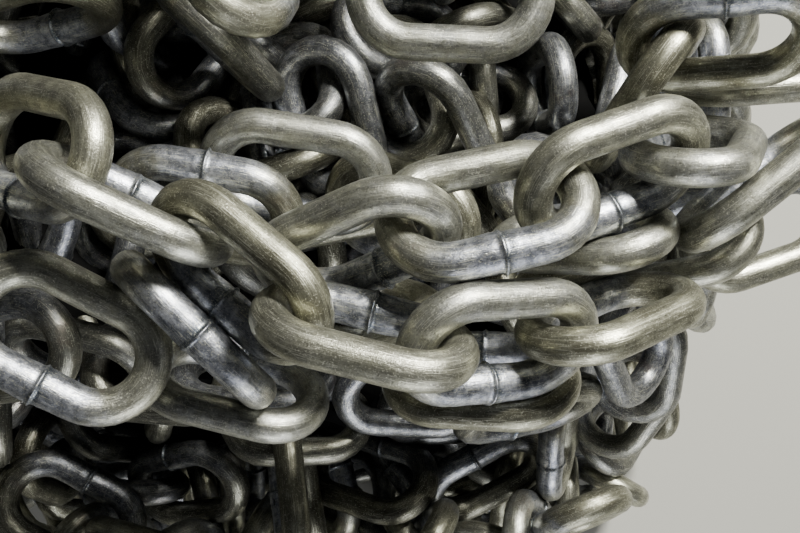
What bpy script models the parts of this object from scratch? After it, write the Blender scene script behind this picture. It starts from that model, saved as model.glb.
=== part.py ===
"""A heap of iron chain: welded round-bar links lying in loose runs over a steep pile."""

import math

import bmesh
import bpy
import numpy as np
from mathutils import Matrix, Vector
from mathutils.bvhtree import BVHTree

# Sizes, in metres.
WIRE = 0.016  # thickness of the round bar that a link is bent from
EYE_LENGTH = 0.058  # inside length of a link, the chain's pitch
EYE_WIDTH = 0.026  # inside width of a link
HEAP_LENGTH = 0.60  # the pile's reach along X at the floor
HEAP_DEPTH = 0.54  # the pile's reach along Y at the floor
HEAP_HEIGHT = 0.45  # the top of the pile above the floor
GAP = 0.0003  # least room left between two pieces that touch
CORE_INSET = 0.010  # how far the core's face lies under the outside of the pile
CORE_CLEARANCE = 0.0003  # room round the separate links where the core is hollowed for them

# The pile's outline: how square it is seen from above, and how full its shoulders are.
PLAN_POWER = 3.0
SHOULDER_POWER = 2.4

# How finely the round shapes are cut.
BOW_STEPS = 6  # straight stretches round each bow of a link
WIRE_RINGS = 2  # half the sides of the wire, less two
DRAPE_STEP = 1.014  # the flat-sided wires of a taut run meet this much beyond the pitch
CORE_CUTS = 4  # times that each face of the core is cut in four
CORE_SPACING = 1.1 / 2 ** CORE_CUTS  # about the angle, in radians, between two corners of the core
HOLLOW_PASSES = 3  # more passes give the core's hollows gentler sides

# How the links are eased apart.
TRIES = 60  # most times that the overlaps are looked for
ROUNDS = 240  # most small moves after each look
LOOK_EVERY = 8  # moves between two lists of what lies near
LOOK_AHEAD = 0.006  # how much farther than touching that list reaches
PUSH = 1.6  # over 1, because the pushes on a link are shared out
FIRST_TOUCH = 0.96  # the wires are cut as flats, so round ones may first come this near
SLIDE = 0.006  # what bears on nothing is slid up to a neighbour that is no farther off than this

# The links on the top and down the front. Each has the two places where it hooks on, or bears on, its
# neighbours, as shares of the pile's half length, half depth and height, and its roll in degrees. At roll 0
# a link lies flat on the pile, at 90 on edge.
LINKS = {
    "front_link_1": ((-0.38, -0.15, 0.87), (-0.22, -0.22, 0.94), 0),
    "front_link_2": ((-0.24, -0.24, 0.95), (-0.08, -0.31, 0.90), 90),
    "front_link_3": ((-0.09, -0.31, 0.92), (0.06, -0.45, 0.92), 150),
    "front_link_4": ((0.06, -0.44, 0.93), (0.24, -0.49, 0.93), 90),
    "front_link_5": ((0.24, -0.48, 0.92), (0.41, -0.46, 0.87), 170),
    "front_link_6": ((0.41, -0.46, 0.88), (0.57, -0.38, 0.82), 95),
    "middle_link_1": ((0.05, -0.36, 0.88), (0.22, -0.30, 0.94), 140),
    "middle_link_2": ((0.21, -0.31, 0.93), (0.40, -0.26, 0.93), 40),
    "middle_link_3": ((0.39, -0.26, 0.92), (0.57, -0.18, 0.90), 145),
    "middle_link_4": ((0.58, -0.20, 0.90), (0.66, -0.10, 0.80), 70),
    "right_link_1": ((0.44, -0.34, 0.78), (0.55, -0.28, 0.68), 115),
    "right_link_2": ((0.54, -0.28, 0.71), (0.71, -0.25, 0.77), 75),
    "upper_right_link_1": ((0.56, 0.03, 0.85), (0.75, 0.03, 0.88), 115),
    "upper_right_link_2": ((0.53, -0.08, 0.75), (0.59, 0.03, 0.85), 170),
    "left_top_link": ((-0.34, -0.42, 0.90), (-0.18, -0.51, 0.86), 30),
    "left_lip_link": ((-0.14, -0.50, 0.78), (0.02, -0.54, 0.77), 96),
    "lip_link": ((0.22, -0.52, 0.77), (0.41, -0.53, 0.80), 90),
    "tucked_link": ((0.11, -0.16, 0.68), (0.28, -0.24, 0.73), 150),
    "brow_link": ((0.64, -0.27, 0.83), (0.79, -0.14, 0.85), 125),
    "welded_steep_link": ((0.39, -0.27, 0.77), (0.54, -0.30, 0.85), 75),
    "welded_left_link": ((-0.16, -0.38, 0.87), (-0.03, -0.53, 0.83), 120),
    "welded_behind_link": ((0.07, -0.44, 0.85), (0.20, -0.38, 0.76), 100),
    "right_top_link": ((0.67, 0.03, 0.75), (0.86, 0.05, 0.74), 65),
    "right_dark_link": ((0.71, -0.26, 0.70), (0.90, -0.19, 0.69), 5),
    "back_flat_link": ((0.17, 0.08, 0.90), (0.36, 0.07, 0.90), 160),
    "mid_open_link": ((-0.06, -0.16, 0.81), (0.13, -0.19, 0.80), 150),
    "cross_welded_link": ((-0.19, -0.22, 0.82), (0.00, -0.25, 0.81), 145),
    "corner_link": ((-0.46, 0.09, 0.81), (-0.28, 0.10, 0.86), 85),
    "hang_1_link": ((-0.27, -0.87, 0.26), (-0.26, -0.71, 0.34), 60),
    "hang_2_link": ((-0.16, -0.83, 0.28), (-0.15, -0.64, 0.35), 100),
    "hang_3_link": ((-0.03, -0.61, 0.53), (0.00, -0.83, 0.55), 135),
    "hang_4_link": ((0.00, -0.61, 0.30), (0.06, -0.82, 0.32), 25),
    "hang_5_link": ((0.45, -0.84, 0.22), (0.45, -0.68, 0.30), 135),
    "hang_6_link": ((0.52, -0.54, 0.46), (0.53, -0.70, 0.37), 35),
    "hang_7_link": ((0.59, -0.72, 0.23), (0.60, -0.92, 0.19), 35),
    "hang_8_link": ((0.71, -0.44, 0.31), (0.74, -0.58, 0.22), 25),
}

# The runs that hang down the other sides. Each is a starting place on the outside of the pile, as its
# bearing from +X and its elevation from the middle of the base, then the heading off straight down, how much
# the heading turns at each link, all in degrees, and how many links there are.
DRAPES = {
    "back_run": (108, 58, -6, 5, 5),
    "back_right_run": (66, 52, 14, -7, 4),
    "left_run": (172, 52, 10, -6, 4),
    "front_left_run": (214, 46, -12, 8, 3),
    "right_run": (8, 46, -10, 9, 3),
    "shoulder_run": (146, 62, -84, -4, 4),
}
DRAPE_ROLLS = (40, 130)  # the links of such a run tip one way and the other in turn


def link_loop():
    """The centreline of a link round its flat loop: X along the link, Y across it."""
    bow = (EYE_WIDTH + WIRE) / 2
    straight = (EYE_LENGTH + WIRE) / 2 - bow
    points = []
    for end, first in ((straight, -90), (-straight, 90)):
        for step in range(BOW_STEPS + 1):
            angle = math.radians(first + 180 * step / BOW_STEPS)
            points.append((end + bow * math.cos(angle), bow * math.sin(angle), 0.0))
    return np.array(points)


def link_curve(name, thickness):
    """A link as a closed wire of the given thickness."""
    curve = bpy.data.curves.new(name, "CURVE")
    curve.dimensions = "3D"
    curve.bevel_depth = thickness / 2
    curve.bevel_resolution = WIRE_RINGS
    curve.use_fill_caps = True
    loop = link_loop()
    spline = curve.splines.new("POLY")
    spline.points.add(len(loop) - 1)
    spline.points.foreach_set("co", np.column_stack([loop, np.ones(len(loop))]).ravel())
    spline.use_cyclic_u = True
    return curve


def link_shell(thickness):
    """The corners and faces of a link of the given thickness, for testing what it touches."""
    curve = link_curve("test_link", thickness)
    test = bpy.data.objects.new("test_link", curve)
    mesh = test.to_mesh()
    corners = np.array([vertex.co[:] for vertex in mesh.vertices])
    faces = [tuple(polygon.vertices) for polygon in mesh.polygons]
    test.to_mesh_clear()
    bpy.data.objects.remove(test)
    bpy.data.curves.remove(curve)
    return corners, faces


def pile_reach(direction):
    """How far the pile's outside lies from the middle of its base, in each unit direction."""
    x, y, z = np.abs(direction).T
    plan = (x / (HEAP_LENGTH / 2)) ** PLAN_POWER + (y / (HEAP_DEPTH / 2)) ** PLAN_POWER
    total = plan ** (SHOULDER_POWER / PLAN_POWER) + (z / HEAP_HEIGHT) ** SHOULDER_POWER
    return total ** (-1 / SHOULDER_POWER)


def pile_normal(point):
    """The direction that faces straight out of the pile at a point."""
    x, y, z = point
    span_x, span_y = HEAP_LENGTH / 2, HEAP_DEPTH / 2
    plan = abs(x / span_x) ** PLAN_POWER + abs(y / span_y) ** PLAN_POWER
    share = plan ** (SHOULDER_POWER / PLAN_POWER - 1) if plan else 0.0
    out = np.array([
        share * math.copysign(abs(x / span_x) ** (PLAN_POWER - 1), x) / span_x,
        share * math.copysign(abs(y / span_y) ** (PLAN_POWER - 1), y) / span_y,
        abs(z / HEAP_HEIGHT) ** (SHOULDER_POWER - 1) / HEAP_HEIGHT,
    ])
    return out / np.linalg.norm(out)


def top_links():
    """The name, the two ends and the roll of each link on the top and front."""
    scale = np.array([HEAP_LENGTH / 2, HEAP_DEPTH / 2, HEAP_HEIGHT])
    for name, (start, end, roll) in LINKS.items():
        yield name, start * scale, end * scale, roll


def drape_links():
    """The same for the runs that hang down the other sides."""
    depth = (EYE_WIDTH + WIRE) / 2 * math.sin(math.radians(DRAPE_ROLLS[0])) + WIRE / 2
    for run, (bearing, elevation, heading, bend, count) in DRAPES.items():
        turn = Matrix.Rotation(math.radians(bearing), 3, "Z")
        turn = turn @ Matrix.Rotation(-math.radians(elevation), 3, "Y")
        point = np.array(turn @ Vector((1, 0, 0)))
        points = []
        for number in range(count + 1):
            toward = point / np.linalg.norm(point)
            point = toward * pile_reach(toward)
            out = pile_normal(point)
            points.append(point - out * depth)
            down = np.array([0, 0, -1]) + out * out[2]
            down /= np.linalg.norm(down)
            angle = math.radians(heading + bend * number)
            heading_now = down * math.cos(angle) + np.cross(out, down) * math.sin(angle)
            point = point + EYE_LENGTH * DRAPE_STEP * heading_now
        for number, (start, end) in enumerate(zip(points, points[1:])):
            yield f"{run}_link_{number + 1}", start, end, DRAPE_ROLLS[number % 2]


def lay_links():
    """Each link's name, middle and turn, whose columns run along the link, across it and through its eye."""
    names, middles, turns = [], [], []
    for name, start, end, roll in [*top_links(), *drape_links()]:
        middle = (start + end) / 2
        along = (end - start) / np.linalg.norm(end - start)
        flat = np.cross(along, pile_normal(middle))
        flat /= np.linalg.norm(flat)
        upright = np.cross(flat, along)
        across = flat * math.cos(math.radians(roll)) + upright * math.sin(math.radians(roll))
        names.append(name)
        middles.append(middle)
        turns.append(np.column_stack([along, across, np.cross(along, across)]))
    return names, np.array(middles), np.array(turns)


def wires(middles, turns):
    """The corners of every link's centreline."""
    return middles[:, None] + link_loop() @ turns.transpose(0, 2, 1)


def nearest_points(a, b, c, d):
    """The nearest points of the lines a to b and c to d, for arrays of such lines."""
    u, v, w = b - a, d - c, a - c
    uu, vv, uv = (u * u).sum(-1), (v * v).sum(-1), (u * v).sum(-1)
    uw, vw = (u * w).sum(-1), (v * w).sum(-1)
    spread = np.maximum(uu * vv - uv * uv, 1e-18)
    s = np.clip((uv * vw - vv * uw) / spread, 0, 1)
    t = np.clip((uv * s + vw) / vv, 0, 1)
    s = np.clip((uv * t - uw) / uu, 0, 1)
    return a + s[..., None] * u, c + t[..., None] * v


def neighbours(middles, ahead):
    """The pairs of links that are no farther apart than ahead."""
    reach = EYE_LENGTH + 2 * WIRE + ahead
    first, second = np.triu_indices(len(middles), 1)
    close = np.linalg.norm(middles[first] - middles[second], axis=1) < reach
    return first[close], second[close]


def near_stretches(middles, turns, ahead):
    """The stretches of wire of two links that are this near: a link, its stretch, and the other two."""
    loops = wires(middles, turns)
    ends = np.roll(loops, -1, axis=1)
    halfway = (loops + ends) / 2
    half = np.linalg.norm(ends[0] - loops[0], axis=1) / 2
    first, second = neighbours(middles, ahead)
    apart = np.linalg.norm(halfway[first][:, :, None] - halfway[second][:, None], axis=-1)
    pair, i, j = np.nonzero(apart < half[:, None] + half + WIRE + ahead)
    return first[pair], i, second[pair], j


def where_nearest(middles, turns, stretches):
    """The nearest points of each pair of stretches."""
    loops = wires(middles, turns)
    ends = np.roll(loops, -1, axis=1)
    first, i, second, j = stretches
    return nearest_points(loops[first, i], ends[first, i], loops[second, j], ends[second, j])


def gather(middles, turns):
    """Slides the links that bear on nothing up to their nearest neighbours, until no gap is left to close."""
    middles = middles.copy()
    while True:
        stretches = near_stretches(middles, turns, SLIDE)
        on_first, on_second = where_nearest(middles, turns, stretches)
        first, second = stretches[0], stretches[2]
        distance = np.linalg.norm(on_second - on_first, axis=1)
        room = distance - WIRE * FIRST_TOUCH
        group = np.arange(len(middles))
        for i, j in zip(first[room < GAP], second[room < GAP]):
            group[group == group[j]] = group[i]
        room[group[first] == group[second]] = np.inf
        nearest = room.argmin()
        if room[nearest] > SLIDE:
            return middles
        step = (on_second - on_first)[nearest] * room[nearest] / distance[nearest]
        one, other = group == group[first[nearest]], group == group[second[nearest]]
        if one.sum() <= other.sum():
            middles[one] += step
        else:
            middles[other] -= step


def turned(turns, spins):
    """Every turn followed by a small rotation about its spin, by the spin's length in radians."""
    angle = np.maximum(np.linalg.norm(spins, axis=1), 1e-12)[:, None, None]
    x, y, z = spins.T
    none = np.zeros_like(x)
    lean = np.array([[none, -z, y], [z, none, -x], [-y, x, none]]).transpose(2, 0, 1) / angle
    return turns + np.sin(angle) * lean @ turns + (1 - np.cos(angle)) * lean @ lean @ turns


def push_apart(middles, turns, wanted):
    """Slides and tips the links a little at a time, until no two centrelines are nearer than wanted."""
    lever = EYE_LENGTH / 2
    for count in range(ROUNDS):
        if count % LOOK_EVERY == 0:
            stretches = near_stretches(middles, turns, LOOK_AHEAD)
        on_first, on_second = where_nearest(middles, turns, stretches)
        away = on_first - on_second
        distance = np.linalg.norm(away, axis=-1)
        first, second = stretches[0], stretches[2]
        depth = wanted[first, second] - distance
        low = np.maximum(WIRE / 2 - wires(middles, turns)[..., 2].min(axis=1), 0)
        if max(depth.max(), low.max()) < GAP / 10:
            break
        hit = depth > 0
        push = away[hit] / np.maximum(distance[hit], 1e-6)[:, None]
        sides = ((first[hit], on_first[hit], 1), (second[hit], on_second[hit], -1))
        swings = [np.cross(place - middles[which], push) for which, place, _ in sides]
        give = 2 + sum((swing ** 2).sum(-1) for swing in swings) / lever ** 2
        size = (depth[hit] / give)[:, None]
        shift, spin = np.zeros_like(middles), np.zeros_like(middles)
        hits = np.zeros(len(middles))
        for (which, _, sign), swing in zip(sides, swings):
            np.add.at(shift, which, sign * size * push)
            np.add.at(spin, which, sign * size * swing / lever ** 2)
            np.add.at(hits, which, 1)
        share = PUSH / np.maximum(hits, 1)[:, None]
        middles = middles + shift * share
        middles[:, 2] += low
        turns = turned(turns, spin * share)
    return middles, turns


def touching(middles, turns, shape):
    """The pairs of links that overlap when drawn in the given shape."""
    corners, faces = shape
    trees = []
    for middle, turn in zip(middles, turns):
        trees.append(BVHTree.FromPolygons((corners @ turn.T + middle).tolist(), faces))
    return [(i, j) for i, j in zip(*neighbours(middles, GAP)) if trees[i].overlap(trees[j])]


def settle(middles, turns):
    """Eases the links apart until no two overlap, and a gap is left where they bear on each other."""
    snug = link_shell(WIRE + GAP)
    wanted = np.full((len(middles), len(middles)), WIRE * FIRST_TOUCH)
    for look in range(TRIES):
        middles, turns = push_apart(middles, turns, wanted)
        clashes = touching(middles, turns, snug)
        if not clashes:
            break
        for i, j in clashes:
            wanted[i, j] = wanted[j, i] = wanted[i, j] + GAP
    return middles, turns


def core_dome():
    """The upper half of a unit sphere in even triangles, open below."""
    dome = bmesh.new()
    bmesh.ops.create_icosphere(dome, subdivisions=CORE_CUTS + 1, radius=1)
    everything = dome.verts[:] + dome.edges[:] + dome.faces[:]
    bmesh.ops.bisect_plane(dome, geom=everything, plane_co=(0, 0, 0), plane_no=(0, 0, 1), clear_inner=True)
    bmesh.ops.triangulate(dome, faces=dome.faces[:])
    for corner in dome.verts:
        corner.co.normalize()
    return dome


def room_inside(directions, loops):
    """How far the core may reach in each direction before it meets the middle of a link's wire."""
    points = ((loops + np.roll(loops, -1, axis=1)) / 2).reshape(-1, 3)
    points = np.concatenate([points, loops.reshape(-1, 3)])
    along = directions @ points.T
    aside = np.sqrt(np.maximum((points ** 2).sum(1) - along ** 2, 0))
    shadow = along * CORE_SPACING / 2 + WIRE / 2
    return np.where((aside < shadow) & (along > 0), along, np.inf).min(axis=1)


def core_shape(middles, turns):
    """The pile's outside as far as the separate links leave room, with a flat base."""
    dome = core_dome()
    directions = np.array([corner.co[:] for corner in dome.verts])
    edges = np.array([[corner.index for corner in edge.verts] for edge in dome.edges])
    faces = [tuple(corner.index for corner in face.verts) for face in dome.faces]
    full = pile_reach(directions) - CORE_INSET
    share = np.minimum(room_inside(directions, wires(middles, turns)) / full, 1)
    for _ in range(HOLLOW_PASSES):
        total, count = np.zeros(len(share)), np.zeros(len(share))
        for one, other in (edges.T, edges.T[::-1]):
            np.add.at(total, one, share[other])
            np.add.at(count, one, 1)
        share = np.minimum(share, total / count)
    radius = share * full

    corners, link_faces = link_shell(WIRE + 2 * CORE_CLEARANCE)
    placed = np.concatenate([corners @ turn.T + middle for middle, turn in zip(middles, turns)])
    shifts = range(0, len(placed), len(corners))
    placed_faces = [tuple(index + shift for index in face) for shift in shifts for face in link_faces]
    links = BVHTree.FromPolygons(placed.tolist(), placed_faces)
    while True:
        core = BVHTree.FromPolygons((directions * radius[:, None]).tolist(), faces)
        cut = {index for face, _ in core.overlap(links) for index in faces[face]}
        if not cut:
            break
        radius[list(cut)] -= GAP
    for corner, direction, reach in zip(dome.verts, directions, radius):
        corner.co = Vector(direction * reach)
    rim = [edge for edge in dome.edges if edge.is_boundary]
    base = bmesh.ops.contextual_create(dome, geom=rim)["faces"]
    middle = bmesh.ops.poke(dome, faces=base)["verts"][0]
    middle.co = (0, 0, 0)
    bmesh.ops.recalc_face_normals(dome, faces=dome.faces)
    return dome


def bare_iron():
    """Rolled bar with its mill scale rubbed thin."""
    material = bpy.data.materials.new("bare_iron")
    material.use_nodes = True
    surface = material.node_tree.nodes["Principled BSDF"]
    surface.inputs["Base Color"].default_value = (0.33, 0.31, 0.28, 1)
    surface.inputs["Roughness"].default_value = 0.42
    surface.inputs["Metallic"].default_value = 0.85
    return material


def place(name, data, where, collection, parent):
    """One piece of the heap, under the heap's own empty."""
    piece = bpy.data.objects.new(name, data)
    collection.objects.link(piece)
    piece.parent = parent
    piece.matrix_world = where
    return piece


def build():
    for old in list(bpy.data.objects):
        bpy.data.objects.remove(old)
    collection = bpy.data.collections.new("heap_of_iron_chain")
    bpy.context.scene.collection.children.link(collection)
    iron = bare_iron()

    names, middles, turns = lay_links()
    middles, turns = settle(gather(middles, turns), turns)
    core = core_shape(middles, turns)

    shell, _ = link_shell(WIRE)
    outside = [shell @ turn.T + middle for middle, turn in zip(middles, turns)]
    outside = np.concatenate([*outside, [corner.co[:] for corner in core.verts]])
    low, high = outside.min(axis=0), outside.max(axis=0)
    centred = np.array([-(low[0] + high[0]) / 2, -(low[1] + high[1]) / 2, -low[2]])

    heap = bpy.data.objects.new("heap_of_iron_chain", None)
    collection.objects.link(heap)
    heap.location = centred
    bpy.context.view_layer.update()

    mesh = bpy.data.meshes.new("buried_core")
    core.to_mesh(mesh)
    core.free()
    mesh.materials.append(iron)
    place("buried_core", mesh, Matrix.Translation(centred), collection, heap)

    link = link_curve("chain_link", WIRE)
    link.materials.append(iron)
    for name, middle, turn in zip(names, middles, turns):
        where = Matrix.Translation(middle + centred) @ Matrix(turn.tolist()).to_4x4()
        place(name, link, where, collection, heap)


build()
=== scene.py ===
"""The looks of a heap of iron chain: every link as bent and welded bar, down into the dark of the heap."""

import math

import bmesh
import bpy
import numpy as np
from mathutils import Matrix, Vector, noise


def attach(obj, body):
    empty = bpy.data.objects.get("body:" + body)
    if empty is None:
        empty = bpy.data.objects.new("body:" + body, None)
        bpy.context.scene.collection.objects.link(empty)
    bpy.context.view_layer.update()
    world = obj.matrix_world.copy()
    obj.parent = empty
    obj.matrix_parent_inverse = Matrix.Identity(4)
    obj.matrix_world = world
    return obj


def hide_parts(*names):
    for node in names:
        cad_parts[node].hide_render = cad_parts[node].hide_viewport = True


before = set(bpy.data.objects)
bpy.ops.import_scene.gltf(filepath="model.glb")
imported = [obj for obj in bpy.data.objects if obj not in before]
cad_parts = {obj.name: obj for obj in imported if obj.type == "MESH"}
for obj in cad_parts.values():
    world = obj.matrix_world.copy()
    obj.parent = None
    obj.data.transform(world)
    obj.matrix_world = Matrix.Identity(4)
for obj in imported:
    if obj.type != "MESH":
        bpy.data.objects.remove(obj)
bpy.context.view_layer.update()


# The view.
#
# The photograph looks down on the near top edge of the heap from about an arm's length.
# The heap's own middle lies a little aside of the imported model's.

HEAP_MIDDLE = np.array([0.0002, -0.0022, 0.0])
EYE_PLACE = np.array([0.060, -0.160, 0.760])
EYE_TILT = math.radians(10)  # off straight down
LENS, SENSOR = 40.5, 36.0

lens = bpy.data.cameras.new("view")
lens.lens = LENS
lens.sensor_width = SENSOR
view = bpy.data.objects.new("view", lens)
view.location = EYE_PLACE + HEAP_MIDDLE
view.rotation_euler = (EYE_TILT, 0, 0)
bpy.context.scene.collection.objects.link(view)
bpy.context.scene.camera = view


# The link.
#
# A link is a cut length of 16 mm round bar, bent round two pins until its ends meet in the middle of one
# long side. There they are pressed together glowing hot, which swells the bar and squeezes out a thin ring
# of burr.

WIRE = 0.016
EYE_LENGTH = 0.058
EYE_WIDTH = 0.026
BOW = (EYE_WIDTH + WIRE) / 2
STRAIGHT = (EYE_LENGTH - EYE_WIDTH) / 2  # half of a long side, as far as it is straight
BAR = 4 * STRAIGHT + 2 * math.pi * BOW  # once round the link
BENDS = np.cumsum([0, STRAIGHT, math.pi * BOW, 2 * STRAIGHT, math.pi * BOW, STRAIGHT])

SNUG = 0.0001  # the bar is this much under size, so that links that bear on each other don't merge
SWELL, SWELL_REACH = 0.00055, 0.0065
BURR, BURR_WIDTH = 0.0013, 0.0006
BURR_LEVEL, BURR_WAVES = 0.62, ((1, 0.22), (3, 0.16), (5, 0.10))  # waves round the bar, and their height
GROOVE, GROOVE_PLACE, GROOVE_WIDTH = 0.00022, 0.0021, 0.0009
SLIP, SLIP_REACH = 0.00035, 0.010  # how far the two ends of the bar miss each other
LEAST_SLIP = 0.2  # the share of it that every link has
SOOT_REACH = 0.0034  # one end of the bar is left darker beside the burr
BOW_SQUASH = 0.02  # the bar is flatter by this share round the bows
WELD_RINGS = (0.0004, 0.0009, 0.0015, 0.0023, 0.0036, 0.0058, 0.0090, 0.0125, STRAIGHT)


def rings_along(bow_rings, side_rings):
    """The distances from the weld at which the bar is ringed, close together at the weld and in the bows."""
    near = list(WELD_RINGS)
    bend = list(np.linspace(BENDS[1], BENDS[2], bow_rings + 1)[1:])
    side = list(np.linspace(BENDS[2], BAR / 2, side_rings + 1)[1:-1])
    half = near + bend + side
    return np.array([0.0] + half + [BAR / 2] + [BAR - travel for travel in reversed(half)])


def bar_middle(travel):
    """The bar's middle line at each distance from the weld, and the way from the link's inside outwards."""
    heading = np.interp(travel, BENDS, [0, 0, math.pi, math.pi, 2 * math.pi, 2 * math.pi])
    along = np.interp(travel, BENDS, [0, STRAIGHT, STRAIGHT, -STRAIGHT, -STRAIGHT, 0])
    outward = np.column_stack([np.sin(heading), -np.cos(heading), np.zeros_like(heading)])
    middle = outward * BOW
    middle[:, 0] += along
    return middle, outward


def link_shape(travel, sides, rng):
    """One link's surface, ring by ring, with a weld of its own.

    X runs along the link, Y across it and Z through its eye."""
    middle, outward = bar_middle(travel)
    around = 2 * math.pi * np.arange(sides) / sides
    from_weld = np.minimum(travel, BAR - travel)
    side_of_weld = np.where(travel < BAR / 2, 1, -1)
    bend = np.abs(np.sin(np.interp(travel, BENDS, [0, 0, math.pi, math.pi, 2 * math.pi, 2 * math.pi])))

    phases = rng.uniform(0, 2 * math.pi, 4)
    ragged = BURR_LEVEL
    for (waves, height), phase in zip(BURR_WAVES, phases):
        ragged = ragged + height * np.cos(waves * around + phase)
    near = from_weld[:, None]
    thick = WIRE / 2 - SNUG + SWELL * np.exp(-(near / SWELL_REACH) ** 2)
    thick = thick + BURR * ragged * np.exp(-(near / BURR_WIDTH) ** 2)
    thick = thick - GROOVE * np.exp(-((near - GROOVE_PLACE) / GROOVE_WIDTH) ** 2)
    slip = SLIP * rng.uniform(LEAST_SLIP, 1.0) * np.exp(-(from_weld / SLIP_REACH) ** 2)
    slip = slip * side_of_weld * (from_weld > 0)
    slipped = slip[:, None] * np.array([0, math.cos(phases[3]), math.sin(phases[3])])

    out = thick * (1 - BOW_SQUASH * bend)[:, None] * np.cos(around)
    up = thick * (1 + BOW_SQUASH * bend / 2)[:, None] * np.sin(around)
    points = (middle + slipped)[:, None] + outward[:, None] * out[:, :, None]
    points[:, :, 2] += up
    place_on_bar = np.stack([np.broadcast_to(near, out.shape), out, up], axis=-1)
    soot = np.exp(-(near / SOOT_REACH) ** 2) * (side_of_weld < 0)[:, None] * (near > 0) * np.ones_like(out)
    return points.reshape(-1, 3), place_on_bar.reshape(-1, 3), soot.ravel()


def ring_faces(rings, sides):
    """The four-cornered faces between the rings of a closed link."""
    ring, side = np.meshgrid(np.arange(rings), np.arange(sides), indexing="ij")
    after, beside = (ring + 1) % rings, (side + 1) % sides
    corners = [ring * sides + side, after * sides + side, after * sides + beside, ring * sides + beside]
    return np.stack(corners, axis=-1).reshape(-1, 4)


def chain_mesh(name, middles, turns, fineness, rng):
    """A mesh of links, each at its own middle and turn.

    fineness is the rings round a bow, those along the side without the weld, and the sides of the bar."""
    bow_rings, side_rings, sides = fineness
    travel = rings_along(bow_rings, side_rings)
    faces = ring_faces(len(travel), sides)
    points, places, tones, soots = [], [], [], []
    for middle, turn in zip(middles, turns):
        shape, place_on_bar, soot = link_shape(travel, sides, rng)
        points.append(shape @ turn.T + middle)
        places.append(place_on_bar + [0, *rng.uniform(-1, 1, 2)])
        tones.append(np.full(len(shape), rng.uniform()))
        soots.append(soot)
    count = len(points[0])
    faces = np.concatenate([faces + count * number for number in range(len(points))])

    mesh = bpy.data.meshes.new(name)
    mesh.vertices.add(count * len(points))
    mesh.vertices.foreach_set("co", np.concatenate(points).ravel())
    mesh.loops.add(faces.size)
    mesh.loops.foreach_set("vertex_index", faces.ravel())
    mesh.polygons.add(len(faces))
    mesh.polygons.foreach_set("loop_start", np.arange(0, faces.size, 4))
    mesh.update(calc_edges=True)
    mesh.validate()
    mesh.shade_smooth()
    bar_place = mesh.attributes.new("bar_place", "FLOAT_VECTOR", "POINT")
    bar_place.data.foreach_set("vector", np.concatenate(places).ravel())
    for title, values in (("tone", tones), ("soot", soots)):
        mesh.attributes.new(title, "FLOAT", "POINT").data.foreach_set("value", np.concatenate(values))
    return mesh


# The iron.
#
# Hot-rolled bar keeps a thin grey-brown mill scale. Drawing and bending rub it to a warm dull shine with
# fine lines along the bar, and small glints of the highlight are painted into its colour as bright specks.
# Beside each weld the heat has driven the scale off and left it blue-grey and mottled.

STREAK_LENGTH, STREAK_GRAIN, STREAK_DETAIL = 0.14, 560, 5  # how short along the bar, how fine across it
HAIRLINE_LENGTH, HAIRLINE_GRAIN, HAIRLINE_DETAIL = 0.05, 2600, 2
HEAT_GRAIN, HEAT_RAGGED = 75, 0.045  # the ragged edge of the heated part
SEAM_RAGGED, SEAM_CORE, SEAM_EDGE = 0.004, 0.0008, 0.0022  # the dark line right beside the burr
PATCH_GRAIN, SPECK_GRAIN, MOTTLE_GRAIN = 95, 1300, 230
STREAK_SHARE, TONE_SHARE = 0.45, 0.16  # how far the streaks and a link's own tone shift the scale's colour
SCALE_STOPS, MOTTLE_STOPS = (0.30, 0.46, 0.58, 0.74), (0.34, 0.47, 0.56, 0.68)
RUST_BROWN, SOOT_BLACK, SPECK_BLACK = (0.19, 0.135, 0.125), (0.05, 0.065, 0.085), (0.07, 0.063, 0.055)
# the colour of rubbed bare metal in the hairlines, and of painted glints in the bright specks
RUBBED_AND_GLINT_BRIGHT = (0.78, 0.77, 0.64)
METALLIC = 0.88
SCRATCH_STRENGTH, SCRATCH_DEPTH = 0.5, 0.0003


def group(name, inputs, outputs):
    """A shader node group with its sockets, ready to be filled."""
    tree = bpy.data.node_groups.new(name, "ShaderNodeTree")
    for title, kind in inputs:
        tree.interface.new_socket(title, in_out="INPUT", socket_type=kind)
    for title, kind in outputs:
        tree.interface.new_socket(title, in_out="OUTPUT", socket_type=kind)
    return tree, tree.nodes.new("NodeGroupInput"), tree.nodes.new("NodeGroupOutput")


def math_node(tree, operation, first, second=None, third=None):
    """A Math node fed with sockets or numbers."""
    node = tree.nodes.new("ShaderNodeMath")
    node.operation = operation
    for socket, value in zip(node.inputs, (first, second, third)):
        if isinstance(value, bpy.types.NodeSocket):
            tree.links.new(value, socket)
        elif value is not None:
            socket.default_value = value
    return node.outputs[0]


def centred(tree, value, width):
    """A value from 0 to 1 turned into one that goes as far below nothing as above it."""
    return math_node(tree, "MULTIPLY_ADD", value, width, -width / 2)


def noise_node(tree, place, scale, detail, roughness=0.55, distortion=0.0):
    """Noise over the given place, from about 0.3 to 0.7."""
    node = tree.nodes.new("ShaderNodeTexNoise")
    tree.links.new(place, node.inputs["Vector"])
    node.inputs["Scale"].default_value = scale
    node.inputs["Detail"].default_value = detail
    node.inputs["Roughness"].default_value = roughness
    node.inputs["Distortion"].default_value = distortion
    return node.outputs["Fac"]


def ramp_node(tree, value, stops):
    """A value turned into a colour, through stops of a place and a colour."""
    node = tree.nodes.new("ShaderNodeValToRGB")
    elements = node.color_ramp.elements
    while len(elements) < len(stops):
        elements.new(0.5)
    for element, (place, colour) in zip(elements, stops):
        element.position = place
        element.color = (*colour, 1)
    tree.links.new(value, node.inputs["Fac"])
    return node.outputs["Color"]


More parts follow.
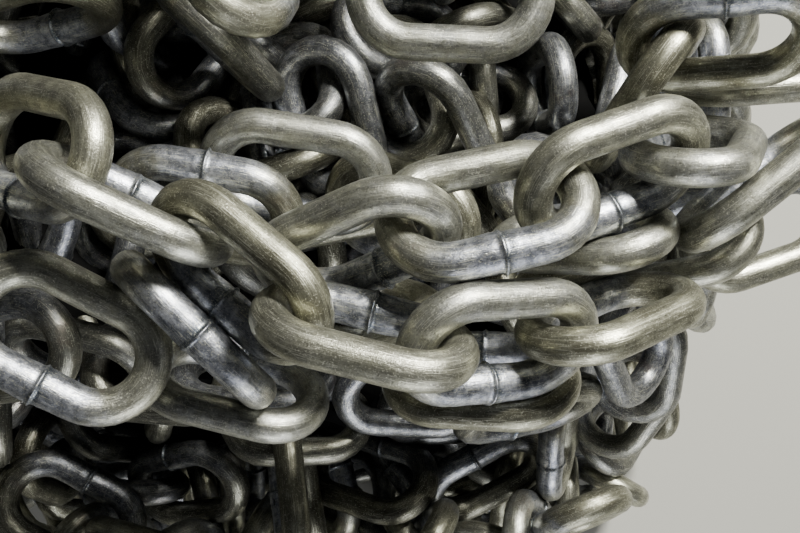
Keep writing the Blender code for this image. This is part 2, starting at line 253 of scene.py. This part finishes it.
def map_range(tree, value, low, high, to_low, to_high):
    """A value carried smoothly from one range to another."""
    node = tree.nodes.new("ShaderNodeMapRange")
    node.interpolation_type = "SMOOTHSTEP"
    tree.links.new(value, node.inputs["Value"])
    for title, number in (("From Min", low), ("From Max", high), ("To Min", to_low), ("To Max", to_high)):
        node.inputs[title].default_value = number
    return node.outputs["Result"]


def mix_node(tree, share, first, second, blend="MIX"):
    """Two colours mixed by a share."""
    node = tree.nodes.new("ShaderNodeMix")
    node.data_type = "RGBA"
    node.blend_type = blend
    for socket, value in ((node.inputs[0], share), (node.inputs[6], first), (node.inputs[7], second)):
        if isinstance(value, bpy.types.NodeSocket):
            tree.links.new(value, socket)
        elif isinstance(value, tuple):
            socket.default_value = (*value, 1)
        else:
            socket.default_value = value
    return node.outputs[2]


def drawn_lines():
    """Fine lines along the bar, from drawing and bending."""
    tree, given, made = group(
        "drawn_lines",
        [("Bar Place", "NodeSocketVector")],
        [("Streaks", "NodeSocketFloat"), ("Hairlines", "NodeSocketFloat")],
    )
    for title, length, grain, detail in (
        ("Streaks", STREAK_LENGTH, STREAK_GRAIN, STREAK_DETAIL),
        ("Hairlines", HAIRLINE_LENGTH, HAIRLINE_GRAIN, HAIRLINE_DETAIL),
    ):
        drawn = tree.nodes.new("ShaderNodeVectorMath")
        drawn.operation = "MULTIPLY"
        drawn.inputs[1].default_value = (length, 1, 1)
        tree.links.new(given.outputs["Bar Place"], drawn.inputs[0])
        tree.links.new(noise_node(tree, drawn.outputs[0], grain, detail, 0.6), made.inputs[title])
    return tree


def weld_heat():
    """How far the heat of the weld has changed the scale, and the dark line right beside the burr."""
    tree, given, made = group(
        "weld_heat",
        [("From Weld", "NodeSocketFloat"), ("Place", "NodeSocketVector"), ("Reach", "NodeSocketFloat")],
        [("Heated", "NodeSocketFloat"), ("Edge", "NodeSocketFloat"), ("Seam", "NodeSocketFloat")],
    )
    ragged = noise_node(tree, given.outputs["Place"], HEAT_GRAIN, 4, 0.6)
    distance = math_node(tree, "ADD", given.outputs["From Weld"], centred(tree, ragged, HEAT_RAGGED))
    share = math_node(tree, "DIVIDE", distance, given.outputs["Reach"])
    tree.links.new(map_range(tree, share, 0.45, 1.15, 1, 0), made.inputs["Heated"])
    rise = map_range(tree, share, 0.8, 1.05, 0, 1)
    fall = map_range(tree, share, 1.05, 1.35, 1, 0)
    tree.links.new(math_node(tree, "MULTIPLY", rise, fall), made.inputs["Edge"])
    near = math_node(tree, "ADD", given.outputs["From Weld"], centred(tree, ragged, SEAM_RAGGED))
    tree.links.new(map_range(tree, near, SEAM_CORE, SEAM_EDGE, 1, 0), made.inputs["Seam"])
    return tree


def add_group(tree, made, **inputs):
    """A group placed in a material, with its inputs linked or set."""
    node = tree.nodes.new("ShaderNodeGroup")
    node.node_tree = made
    for title, value in inputs.items():
        socket = node.inputs[title.replace("_", " ")]
        if isinstance(value, bpy.types.NodeSocket):
            tree.links.new(value, socket)
        else:
            socket.default_value = value
    return node


def mesh_value(tree, title):
    """A value that chain_mesh has stored on the link's corners."""
    node = tree.nodes.new("ShaderNodeAttribute")
    node.attribute_name = title
    return node


LINES = drawn_lines()
HEAT = weld_heat()


def iron(name, scale_colours, blue_colours, reach, greyed):
    """Bare rolled bar.

    The colours go from the darkest streaks to where the scale is rubbed bright. reach is how far the weld's
    heat went, and greyed is how much of its cold grey the greyest links have all over."""
    material = bpy.data.materials.new(name)
    material.use_nodes = True
    tree = material.node_tree
    surface = tree.nodes["Principled BSDF"]

    bar_place = mesh_value(tree, "bar_place")
    tone = mesh_value(tree, "tone").outputs["Fac"]
    soot = mesh_value(tree, "soot").outputs["Fac"]
    parts = tree.nodes.new("ShaderNodeSeparateXYZ")
    tree.links.new(bar_place.outputs["Vector"], parts.inputs[0])
    place = tree.nodes.new("ShaderNodeTexCoord").outputs["Object"]

    lines = add_group(tree, LINES, Bar_Place=bar_place.outputs["Vector"])
    heat = add_group(tree, HEAT, From_Weld=parts.outputs["X"], Place=place, Reach=reach)
    patches = noise_node(tree, place, PATCH_GRAIN, 5, 0.62)
    specks = noise_node(tree, place, SPECK_GRAIN, 3, 0.6)

    rubbed = math_node(tree, "ADD", patches, centred(tree, lines.outputs["Streaks"], STREAK_SHARE))
    rubbed = math_node(tree, "ADD", rubbed, centred(tree, tone, TONE_SHARE))
    scale = ramp_node(tree, rubbed, list(zip(SCALE_STOPS, scale_colours)))

    mottle = noise_node(tree, place, MOTTLE_GRAIN, 5, 0.68, 0.6)
    blued = ramp_node(tree, mottle, list(zip(MOTTLE_STOPS, blue_colours)))
    colour = mix_node(tree, map_range(tree, tone, 0.25, 0.85, 0, greyed), scale, blued)
    colour = mix_node(tree, heat.outputs["Heated"], colour, blued)
    rusted = math_node(tree, "MULTIPLY", heat.outputs["Edge"], map_range(tree, patches, 0.50, 0.62, 0, 0.35))
    colour = mix_node(tree, rusted, colour, RUST_BROWN)
    seam = math_node(tree, "MULTIPLY", heat.outputs["Seam"], map_range(tree, mottle, 0.40, 0.60, 0.6, 0.2))
    sooty = math_node(tree, "MULTIPLY", soot, map_range(tree, mottle, 0.36, 0.64, 1.0, 0.55))
    colour = mix_node(tree, math_node(tree, "MAXIMUM", seam, sooty), colour, SOOT_BLACK)
    colour = mix_node(tree, map_range(tree, specks, 0.32, 0.44, 0.5, 0), colour, SPECK_BLACK)
    # Bright hairlines are rubbed bare metal; the bright specks are painted glints of the highlight.
    rubbed_lines = map_range(tree, lines.outputs["Hairlines"], 0.56, 0.68, 0, 0.55)
    bright = math_node(tree, "MAXIMUM", rubbed_lines, map_range(tree, specks, 0.58, 0.68, 0, 0.75))
    colour = mix_node(tree, bright, colour, RUBBED_AND_GLINT_BRIGHT)
    tree.links.new(colour, surface.inputs["Base Color"])

    dull = math_node(tree, "MULTIPLY_ADD", lines.outputs["Streaks"], 0.34, 0.19)
    dull = math_node(tree, "ADD", dull, map_range(tree, patches, 0.35, 0.65, 0.08, -0.04))
    tree.links.new(dull, surface.inputs["Roughness"])
    surface.inputs["Metallic"].default_value = METALLIC

    height = math_node(tree, "MULTIPLY", lines.outputs["Hairlines"], 0.7)
    height = math_node(tree, "MULTIPLY_ADD", lines.outputs["Streaks"], 0.7, height)
    height = math_node(tree, "MULTIPLY_ADD", specks, 0.6, height)
    height = math_node(tree, "MULTIPLY_ADD", patches, 1.6, height)
    bump = tree.nodes.new("ShaderNodeBump")
    bump.inputs["Strength"].default_value = SCRATCH_STRENGTH
    bump.inputs["Distance"].default_value = SCRATCH_DEPTH
    tree.links.new(height, bump.inputs["Height"])
    tree.links.new(bump.outputs["Normal"], surface.inputs["Normal"])
    return material


WARM_SCALE = ((0.15, 0.145, 0.105), (0.24, 0.236, 0.178), (0.375, 0.37, 0.275), (0.54, 0.535, 0.41))
COLD_BLUE = ((0.13, 0.14, 0.165), (0.25, 0.262, 0.300), (0.38, 0.394, 0.440), (0.56, 0.575, 0.620))
HEAT_REACH, GREYED = 0.032, 0.4
chain_iron = iron("chain_iron", WARM_SCALE, COLD_BLUE, HEAT_REACH, GREYED)

# Inside the heap the same bar is greyer, and its colours are darkened by a share as painted shade, for links
# that lie under others.
BURIED_SHADE = 0.62
BURIED_HEAT_REACH, BURIED_GREYED = 0.045, 0.9
shaded_scale, shaded_blue = (np.array([WARM_SCALE, COLD_BLUE]) * BURIED_SHADE).tolist()
buried_iron = iron("buried_iron", shaded_scale, shaded_blue, BURIED_HEAT_REACH, BURIED_GREYED)


# The runs on top and down the sides.
#
# These are the links that lie in plain sight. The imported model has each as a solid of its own, and each is
# shown here where that solid lies, with its weld on the side that the photograph shows or hides.

FINE = (18, 4, 22)
# Where a link's weld lies: as shares of the way up in the picture and of the way to the eye.
ON_TOP, ABOVE, BELOW, WELD_HIDDEN = (0.0, 1.0), (1.0, 0.2), (-1.0, 0.2), (0.0, -1.0)
HALF_HIDDEN_ABOVE, HALF_HIDDEN_BELOW = (1.0, -0.3), (-1.0, -0.3)
WELD_SIDES = {
    "front_link_4": HALF_HIDDEN_ABOVE,
    "front_link_5": BELOW,
    "middle_link_2": BELOW,
    "middle_link_3": HALF_HIDDEN_BELOW,
    "middle_link_4": HALF_HIDDEN_ABOVE,
    "right_link_1": ON_TOP,
    "welded_left_link": ON_TOP,
    "upper_right_link_1": ABOVE,
    "right_dark_link": ABOVE,
    "cross_welded_link": ABOVE,
    "mid_open_link": BELOW,
    "back_flat_link": ABOVE,
    "front_link_1": HALF_HIDDEN_BELOW,
    "left_top_link": HALF_HIDDEN_BELOW,
    "hang_1_link": ON_TOP,
    "hang_4_link": ON_TOP,
    "hang_6_link": ON_TOP,
}


def link_pose(node):
    """The middle and turn of a packed link, from how its corners spread along, across and through it."""
    corners = np.array([vertex.co[:] for vertex in node.data.vertices])
    middle = corners.mean(axis=0)
    _, turn = np.linalg.eigh(np.cov((corners - middle).T))
    along, across = turn[:, 2], turn[:, 1]
    return middle, np.column_stack([along, across, np.cross(along, across)])


def weld_towards(turn, aim):
    """The same link, turned half round where that brings its weld to the side that aim points to."""
    if turn[:, 1] @ aim > 0:
        return turn * [-1, -1, 1]
    return turn


named = sorted(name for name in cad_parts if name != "buried_core")
poses = [link_pose(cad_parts[name]) for name in named]
open_middles = np.array([middle for middle, _ in poses])
open_turns = np.array([turn for _, turn in poses])

BAR_SEED = 16
bar_rng = np.random.default_rng(BAR_SEED)
picture_up = np.array([0, math.cos(EYE_TILT), math.sin(EYE_TILT)])
for number, name in enumerate(named):
    middle, turn = open_middles[number], open_turns[number]
    towards_eye = view.location - Vector(middle)
    up, near = WELD_SIDES.get(name, WELD_HIDDEN)
    turn = weld_towards(turn, picture_up * up + np.array(towards_eye.normalized()) * near)
    mesh = chain_mesh(name + "_bar", [middle], [turn], FINE, bar_rng)
    piece = bpy.data.objects.new(name + "_bar", mesh)
    bpy.context.scene.collection.objects.link(piece)
    piece.data.materials.append(chain_iron)
    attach(piece, "root")
    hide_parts(name)


# The links tucked between the runs.
#
# Deeper links show between the open runs, of the same bent bar, and lie loose on the chain below. Each is
# given by the two places where it bears on its neighbours, as shares of the heap's half length, half depth
# and height, and by its roll in degrees from flat on the heap.

HEAP_HALF = np.array([0.30, 0.27, 0.45])
PLAN_POWER, SHOULDER_POWER = 3.0, 2.4
TUCKED = (
    ((0.33, 0.23, 0.55), (0.36, 0.03, 0.51), 45),
    ((0.43, 0.18, 0.54), (0.45, 0.12, 0.66), 55),
    ((-0.02, 0.11, 0.45), (0.09, 0.17, 0.55), 40),
    ((-0.26, 0.21, 0.72), (-0.24, 0.27, 0.60), 35),
    ((-0.10, 0.12, 0.79), (-0.04, 0.07, 0.67), 70),
    ((-0.22, 0.09, 0.69), (-0.08, 0.22, 0.65), 105),
    ((-0.08, 0.01, 0.45), (-0.06, 0.15, 0.54), 50),
    ((-0.45, 0.14, 0.54), (-0.39, -0.04, 0.60), 165),
    ((-0.46, 0.27, 0.40), (-0.37, 0.18, 0.51), 110),
    ((-0.33, 0.21, 0.42), (-0.30, -0.00, 0.44), 160),
    ((0.86, 0.24, 0.79), (0.89, 0.20, 0.67), 145),
    ((-0.03, -0.56, 0.41), (0.16, -0.57, 0.40), 165),
    ((-0.57, -0.43, 0.65), (-0.40, -0.44, 0.71), 5),
    ((-0.40, -0.47, 0.44), (-0.36, -0.37, 0.55), 35),
    ((-0.48, -0.58, 0.44), (-0.35, -0.60, 0.35), 120),
    ((-0.52, -0.72, 0.52), (-0.38, -0.80, 0.50), 80),
    ((-0.00, -0.63, 0.43), (0.01, -0.84, 0.38), 110),
    ((0.07, -0.67, 0.30), (0.19, -0.82, 0.34), 60),
    ((0.05, -0.68, 0.39), (0.23, -0.71, 0.44), 110),
    ((0.19, -0.69, 0.19), (0.26, -0.73, 0.08), 100),
    ((0.70, -0.79, 0.04), (0.73, -0.57, 0.05), 25),
    ((0.81, -0.36, 0.14), (0.86, -0.57, 0.13), 20),
)


def heap_reach(directions):
    """How far the heap's outside lies from the middle of its base, in each unit direction."""
    x, y, z = (np.abs(directions) / HEAP_HALF).T
    plan = x ** PLAN_POWER + y ** PLAN_POWER
    return (plan ** (SHOULDER_POWER / PLAN_POWER) + z ** SHOULDER_POWER) ** (-1 / SHOULDER_POWER)


def heap_normal(point):
    """The direction that faces straight out of the heap at a point."""
    x, y, z = np.abs(point) / HEAP_HALF
    plan = max(x ** PLAN_POWER + y ** PLAN_POWER, 1e-9)
    share = plan ** (SHOULDER_POWER / PLAN_POWER - 1)
    plan_slopes = [share * x ** (PLAN_POWER - 1), share * y ** (PLAN_POWER - 1)]
    slopes = np.array([*plan_slopes, z ** (SHOULDER_POWER - 1)])
    out = slopes * np.sign(point) / HEAP_HALF
    return out / np.linalg.norm(out)


def laid_link(start, end, roll):
    """A link between two places, rolled from flat on the heap, as a row of its middle and its turn."""
    middle = (start + end) / 2
    along = (end - start) / np.linalg.norm(end - start)
    flat = np.cross(along, heap_normal(middle))
    flat /= np.linalg.norm(flat)
    across = flat * math.cos(math.radians(roll)) + np.cross(flat, along) * math.sin(math.radians(roll))
    turn = np.column_stack([along, across, np.cross(along, across)])
    return np.concatenate([middle + HEAP_MIDDLE, turn.ravel()])


open_rows = np.column_stack([open_middles, open_turns.reshape(-1, 9)])
tucked_rows = [laid_link(start * HEAP_HALF, end * HEAP_HALF, roll) for start, end, roll in TUCKED]
tucked_rows = np.array(tucked_rows)


# The chain under the runs.
#
# A heap is chain that was let down loose: runs lie over runs, mostly hanging down the steep sides, and each
# link is about a quarter turn from the next. The runs are laid layer by layer, from the outside in.

PITCH = 0.0572
BASIN = np.array([0.04, 0.0, 0.45])  # the place on the heap's top that the photograph looks into
LAYERS = (  # depth, least room between two links' middles, spread of headings, where it starts, how widely
    (0.021, 0.040, 34, (0, 0, 0), 1.0),
    (0.056, 0.041, 35, (0, 0, 0), 1.0),
    (0.092, 0.044, 35, (0, 0, 0), 1.0),
    (0.150, 0.036, 90, BASIN, 0.15),
    (0.190, 0.038, 90, BASIN, 0.13),
    (0.230, 0.040, 90, BASIN, 0.11),
)
RUN_LINKS = 6
RUNS_A_LAYER = 1500
START_FLATNESS = 0.8  # the runs start this much less widely in height
QUARTER, ROLL_SPREAD, BEND_SPREAD = 90, 12, 9  # in degrees
FLOOR_ROOM = 0.022  # no run goes on below this height

# The picture is 800 x 533 pixels. These are its columns and rows.
IMAGE_WIDTH, IMAGE_HEIGHT = 800, 533
SHOWN_ACROSS, SHOWN_DOWN = (-40, 860), (-60, 600)  # the picture and a margin round it
LIP_ROW = 425  # below this row the picture shows the heap's front
TOP_NEAREST, FRONT_NEAREST = 0.47, 0.51  # nothing deeper lies nearer the eye than this, above and below it
FLOOR_ROW, FLOOR_COLUMN, FLOOR_SLANT = 235, 815, 0.42  # the bare floor's edge runs down to the left


def seen_at(points):
    """Where points show in the picture, in its pixels, and how far they are in front of the eye."""
    away = points - np.array(view.location)
    right, up, back = (away @ np.array(view.rotation_euler.to_matrix())).T
    focal = LENS / SENSOR * IMAGE_WIDTH
    return IMAGE_WIDTH / 2 - focal * right / back, IMAGE_HEIGHT / 2 + focal * up / back, -back


def in_the_open(middles):
    """Which links would lie before the open runs as the photograph shows them, or over the bare floor."""
    across, down, far = seen_at(middles)
    shown = (across > SHOWN_ACROSS[0]) & (across < SHOWN_ACROSS[1])
    shown &= (down > SHOWN_DOWN[0]) & (down < SHOWN_DOWN[1])
    near = np.where(down < LIP_ROW, TOP_NEAREST, FRONT_NEAREST)
    bare = (down > FLOOR_ROW) & (across > FLOOR_COLUMN - FLOOR_SLANT * down)
    return shown & ((far < near) | bare)


def lay_layer(depth, room, spread, around, reach, rows, rng):
    """The rows with one more layer of runs at a depth, kept clear of the links that are there already."""
    for _ in range(RUNS_A_LAYER):
        point = around + rng.normal(size=3) * reach * [1, 1, START_FLATNESS]
        point[2] = abs(point[2])
        heading = math.radians(rng.normal() * spread)
        bend = math.radians(rng.normal() * BEND_SPREAD)
        roll, hook = rng.uniform(0, 180), None
        for number in range(RUN_LINKS + 1):
            toward = point / np.linalg.norm(point)
            face = toward * heap_reach(toward[None])[0]
            out = heap_normal(face)
            point = face - out * depth
            if point[2] < FLOOR_ROOM:
                break
            if hook is not None:
                link = laid_link(hook, point, roll)
                crowded = np.linalg.norm(rows[:, :3] - link[:3], axis=1).min() < room
                if crowded or in_the_open(link[None, :3])[0]:
                    break
                rows = np.vstack([rows, link])
                roll += QUARTER + rng.normal() * ROLL_SPREAD
            hook = point
            down = out * out[2] - [0, 0, 1]
            down = down / max(np.linalg.norm(down), 1e-6)
            angle = heading + bend * number
            point = point + PITCH * (down * math.cos(angle) + np.cross(out, down) * math.sin(angle))
    return rows


LAY_SEED = 59
lay_rng = np.random.default_rng(LAY_SEED)
rows = np.vstack([open_rows, tucked_rows])
for layer in LAYERS:
    rows = lay_layer(*layer, rows, lay_rng)

# Where bars run into each other they are eased apart, a little at a time. The open runs stay in place.

EASE_STEPS = 7  # the points round each bow of a link's middle line
EASE_ROUNDS = 260
LIST_EVERY = 10  # the rounds from one search for bars that may meet to the next
LIST_REACH = 0.006
BAR_GAP = 0.0001
WANTED = WIRE + BAR_GAP  # from one bar's middle line to the next one's
LEVER = EYE_LENGTH / 2  # the arm with which a push tips a link
PUSH, CROWDING = 1.5, 0.35  # a link that is pushed from many sides goes less far with each push
SKIN = 0.012  # how deep a link's middle lies at least
PARALLEL = 1e-18  # keeps stretches that lie side by side from a division by nothing


def bar_loops(rows):
    """Each link's middle line as a closed row of points."""
    bows = [np.linspace(first, first + math.pi * BOW, EASE_STEPS) for first in (BENDS[1], BENDS[3])]
    loop, _ = bar_middle(np.concatenate(bows))
    return rows[:, None, :3] + loop @ rows[:, 3:].reshape(-1, 3, 3).transpose(0, 2, 1)


def dot(first, second):
    """The dot products of two arrays of vectors, row by row."""
    return (first * second).sum(-1)


def nearest_places(start, end, other_start, other_end):
    """The nearest places on two straight stretches, for arrays of such stretches."""
    way, other_way, between = end - start, other_end - other_start, start - other_start
    square, other_square, shared = dot(way, way), dot(other_way, other_way), dot(way, other_way)
    lead, other_lead = dot(way, between), dot(other_way, between)
    spread = np.maximum(square * other_square - shared * shared, PARALLEL)
    share = np.clip((shared * other_lead - other_square * lead) / spread, 0, 1)
    other_share = np.clip((shared * share + other_lead) / other_square, 0, 1)
    share = np.clip((shared * other_share - lead) / square, 0, 1)
    return start + share[:, None] * way, other_start + other_share[:, None] * other_way


def close_stretches(rows):
    """The pairs of stretches, of two different links, that may meet: link, stretch, link, stretch."""
    starts = bar_loops(rows)
    ends = np.roll(starts, -1, axis=1)
    halfway, half = (starts + ends) / 2, np.linalg.norm(ends[0] - starts[0], axis=1) / 2
    first, second = np.triu_indices(len(rows), 1)
    apart = np.linalg.norm(rows[first, :3] - rows[second, :3], axis=1)
    close = apart < EYE_LENGTH + 2 * WIRE + LIST_REACH
    first, second = first[close], second[close]
    apart = np.linalg.norm(halfway[first][:, :, None] - halfway[second][:, None], axis=-1)
    pair, one, other = np.nonzero(apart < half[:, None] + half + WIRE + LIST_REACH)
    return first[pair], one, second[pair], other


def overlaps(rows, stretches):
    """How deep each pair of stretches lies in each other, and the nearest points of the two."""
    starts = bar_loops(rows)
    ends = np.roll(starts, -1, axis=1)
    first, one, second, other = stretches
    one, other = (first, one), (second, other)
    place, opposite = nearest_places(starts[one], ends[one], starts[other], ends[other])
    return WANTED - np.linalg.norm(place - opposite, axis=1), place, opposite


def spin_links(rows, spins):
    """Turns each link a little, about its spin and by the spin's length in radians."""
    size = np.maximum(np.linalg.norm(spins, axis=1), 1e-12)[:, None, None]
    x, y, z = spins.T
    none = np.zeros_like(x)
    lean = np.array([[none, -z, y], [z, none, -x], [-y, x, none]]).transpose(2, 0, 1) / size
    turns = rows[:, 3:].reshape(-1, 3, 3)
    turns = turns + np.sin(size) * lean @ turns + (1 - np.cos(size)) * lean @ lean @ turns
    rows[:, 3:] = turns.reshape(-1, 9)


def ease_apart(rows, free):
    """Pushes and tips the free links until hardly a bar lies in another, inside the heap's outline."""
    for count in range(EASE_ROUNDS):
        if count % LIST_EVERY == 0:
            stretches = close_stretches(rows)
        deep, place, opposite = overlaps(rows, stretches)
        hit = deep > 0
        first, second = stretches[0][hit], stretches[2][hit]
        push = (place - opposite)[hit] / (WANTED - deep[hit])[:, None].clip(1e-6)
        arms = (place[hit] - rows[first, :3], opposite[hit] - rows[second, :3])
        swings = [np.cross(arm, push) for arm in arms]
        give = 1 + sum((swing ** 2).sum(-1) for swing in swings) / (2 * LEVER ** 2)
        size = (deep[hit] / give / np.maximum(free[first] + free[second], 1))[:, None]
        shift, spin = np.zeros((len(rows), 3)), np.zeros((len(rows), 3))
        hits = np.ones(len(rows))
        for which, sign, swing in ((first, 1, swings[0]), (second, -1, swings[1])):
            np.add.at(shift, which, sign * size * push)
            np.add.at(spin, which, sign * size * swing / LEVER ** 2)
            np.add.at(hits, which, CROWDING)
        share = (PUSH * free / hits)[:, None]
        rows[:, :3] += shift * share
        spin_links(rows, spin * share)
        if count % LIST_EVERY == 0:
            out = rows[:, :3] - HEAP_MIDDLE
            reach = np.linalg.norm(out, axis=1)
            over = np.maximum(reach - heap_reach(out / reach[:, None]) + SKIN, 0) * free / reach
            rows[:, :3] -= out * over[:, None]
            under = np.maximum(WIRE / 2 - bar_loops(rows)[:, :, 2].min(axis=1), 0)
            rows[:, 2] += under * free


free = np.ones(len(rows))
free[: len(open_rows)] = 0
ease_apart(rows, free)

# Links of the layers that still lie deeper in another than is allowed are taken out again.
ALLOWED = 0.0016
stretches = close_stretches(rows)
deep = overlaps(rows, stretches)[0]
first_under = len(open_rows) + len(tucked_rows)
keep = np.ones(len(rows), bool)
for index in np.argsort(-deep):
    if deep[index] < ALLOWED:
        break
    one, other = stretches[0][index], stretches[2][index]
    if keep[one] and keep[other] and max(one, other) >= first_under:
        keep[max(one, other)] = False
keep &= ~in_the_open(rows[:, :3])
tucked_rows = rows[len(open_rows):first_under]
under_rows = rows[first_under:][keep[first_under:]]


def add_links(name, rows, fineness, material):
    """A joined piece of links that lie still in the heap."""
    mesh = chain_mesh(name, rows[:, :3], rows[:, 3:].reshape(-1, 3, 3), fineness, bar_rng)
    piece = bpy.data.objects.new(name, mesh)
    bpy.context.scene.collection.objects.link(piece)
    piece.data.materials.append(material)
    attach(piece, "root")
    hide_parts("buried_core")


COARSE = (10, 3, 14)
SIDES = (("right", -45, 45), ("back", 45, 135), ("left", 135, 225), ("front", 225, 315))
# The tucked links, the inner layer and the deep links wear the iron darkened with painted shade.
LAYER_DEPTHS = (
    ("outer", -1, 0.040, chain_iron, "chain_iron"),
    ("inner", 0.040, 0.125, buried_iron, "buried_iron"),
)
add_links("tucked_links", tucked_rows, FINE, buried_iron)
out = under_rows[:, :3] - HEAP_MIDDLE
reach = np.linalg.norm(out, axis=1)
depths = heap_reach(out / reach[:, None]) - reach
bearings = (np.degrees(np.arctan2(out[:, 1], out[:, 0])) + 45) % 360 - 45
for side, low, high in SIDES:
    for layer, near, far, material, slot in LAYER_DEPTHS:
        chosen = (bearings >= low) & (bearings < high) & (depths >= near) & (depths < far)
        add_links(f"{layer}_{side}_links", under_rows[chosen], COARSE, material)
add_links("deep_links", under_rows[depths >= LAYER_DEPTHS[-1][2]], COARSE, buried_iron)


# The heart of the heap.
#
# Under several layers of chain hardly any light gets through. What lies there is more of the same bar, and
# all that can be made out of it is a dark tangle, so it is one lumpy mass coloured near black as painted
# shade.

HEART_INSET = 0.105
HEART_LUMPS, LUMP_SCALE = 0.012, 8.0
HEART_CUTS = 6
BASIN_DEPTH, BASIN_REACH = 0.22, 0.62  # the heart lies deeper under the basin

heart_painted_shade = bpy.data.materials.new("heart_painted_shade")
heart_painted_shade.use_nodes = True
heart_surface = heart_painted_shade.node_tree.nodes["Principled BSDF"]
# Near black: painted shade, not the iron's own colour.
heart_surface.inputs["Base Color"].default_value = (0.004, 0.004, 0.004, 1)
heart_surface.inputs["Roughness"].default_value = 0.9
heart_surface.inputs["Specular IOR Level"].default_value = 0.1

dome = bmesh.new()
bmesh.ops.create_icosphere(dome, subdivisions=HEART_CUTS, radius=1)
everything = dome.verts[:] + dome.edges[:] + dome.faces[:]
bmesh.ops.bisect_plane(dome, geom=everything, plane_co=(0, 0, 0), plane_no=(0, 0, 1), clear_inner=True)
for corner in dome.verts:
    toward = np.array(corner.co.normalized())
    lumps = noise.fractal(Vector(toward * LUMP_SCALE), 1.0, 2.0, 3)
    basin = max(0.0, 1 - np.linalg.norm(toward - BASIN / np.linalg.norm(BASIN)) / BASIN_REACH)
    inset = HEART_INSET + HEART_LUMPS * lumps + BASIN_DEPTH * basin
    corner.co = toward * (heap_reach(toward[None])[0] - inset) + HEAP_MIDDLE
bmesh.ops.contextual_create(dome, geom=[edge for edge in dome.edges if edge.is_boundary])
bmesh.ops.recalc_face_normals(dome, faces=dome.faces)
heart_mesh = bpy.data.meshes.new("heart")
dome.to_mesh(heart_mesh)
dome.free()
heart = bpy.data.objects.new("heart", heart_mesh)
bpy.context.scene.collection.objects.link(heart)
heart_mesh.materials.append(heart_painted_shade)
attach(heart, "root")
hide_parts("buried_core")


# The floor and the light.
#
# The heap rests on a plain pale floor. A soft lamp hangs above, behind and to the right of it, and a weak
# wide one stands low in front of it.

FLOOR_SIZE = 14.0
floor_mesh = bpy.data.meshes.new("floor")
half = FLOOR_SIZE / 2
floor_corners = [(-half, -half, 0), (half, -half, 0), (half, half, 0), (-half, half, 0)]
floor_mesh.from_pydata(floor_corners, [], [(0, 1, 2, 3)])
floor = bpy.data.objects.new("floor", floor_mesh)
bpy.context.scene.collection.objects.link(floor)
plain = bpy.data.materials.new("plain_floor")
plain.use_nodes = True
floor_surface = plain.node_tree.nodes["Principled BSDF"]
floor_surface.inputs["Base Color"].default_value = (0.37, 0.365, 0.33, 1)
floor_surface.inputs["Roughness"].default_value = 0.75
floor.data.materials.append(plain)


def soft_lamp(name, place, aim, size, watts, colour):
    """A square lamp that shines from a place towards a point."""
    light = bpy.data.lights.new(name, "AREA")
    light.size = size
    light.energy = watts
    light.color = colour
    lamp = bpy.data.objects.new(name, light)
    lamp.location = place
    lamp.rotation_euler = (Vector(aim) - Vector(place)).to_track_quat("-Z", "Y").to_euler()
    bpy.context.scene.collection.objects.link(lamp)


WARM_LIGHT, COOL_LIGHT = (1.0, 0.99, 0.92), (0.95, 0.97, 1.0)
soft_lamp("key_lamp", (0.64, 0.52, 1.30), aim=(0.14, -0.12, 0.35), size=0.24, watts=56, colour=WARM_LIGHT)
soft_lamp("front_lamp", (0.30, -1.20, 0.38), aim=(0, -0.25, 0.12), size=0.6, watts=9, colour=COOL_LIGHT)

world = bpy.data.worlds.new("room")
world.use_nodes = True
room_light = world.node_tree.nodes["Background"]
room_light.inputs["Color"].default_value = (0.80, 0.84, 0.90, 1)
room_light.inputs["Strength"].default_value = 0.04
bpy.context.scene.world = world
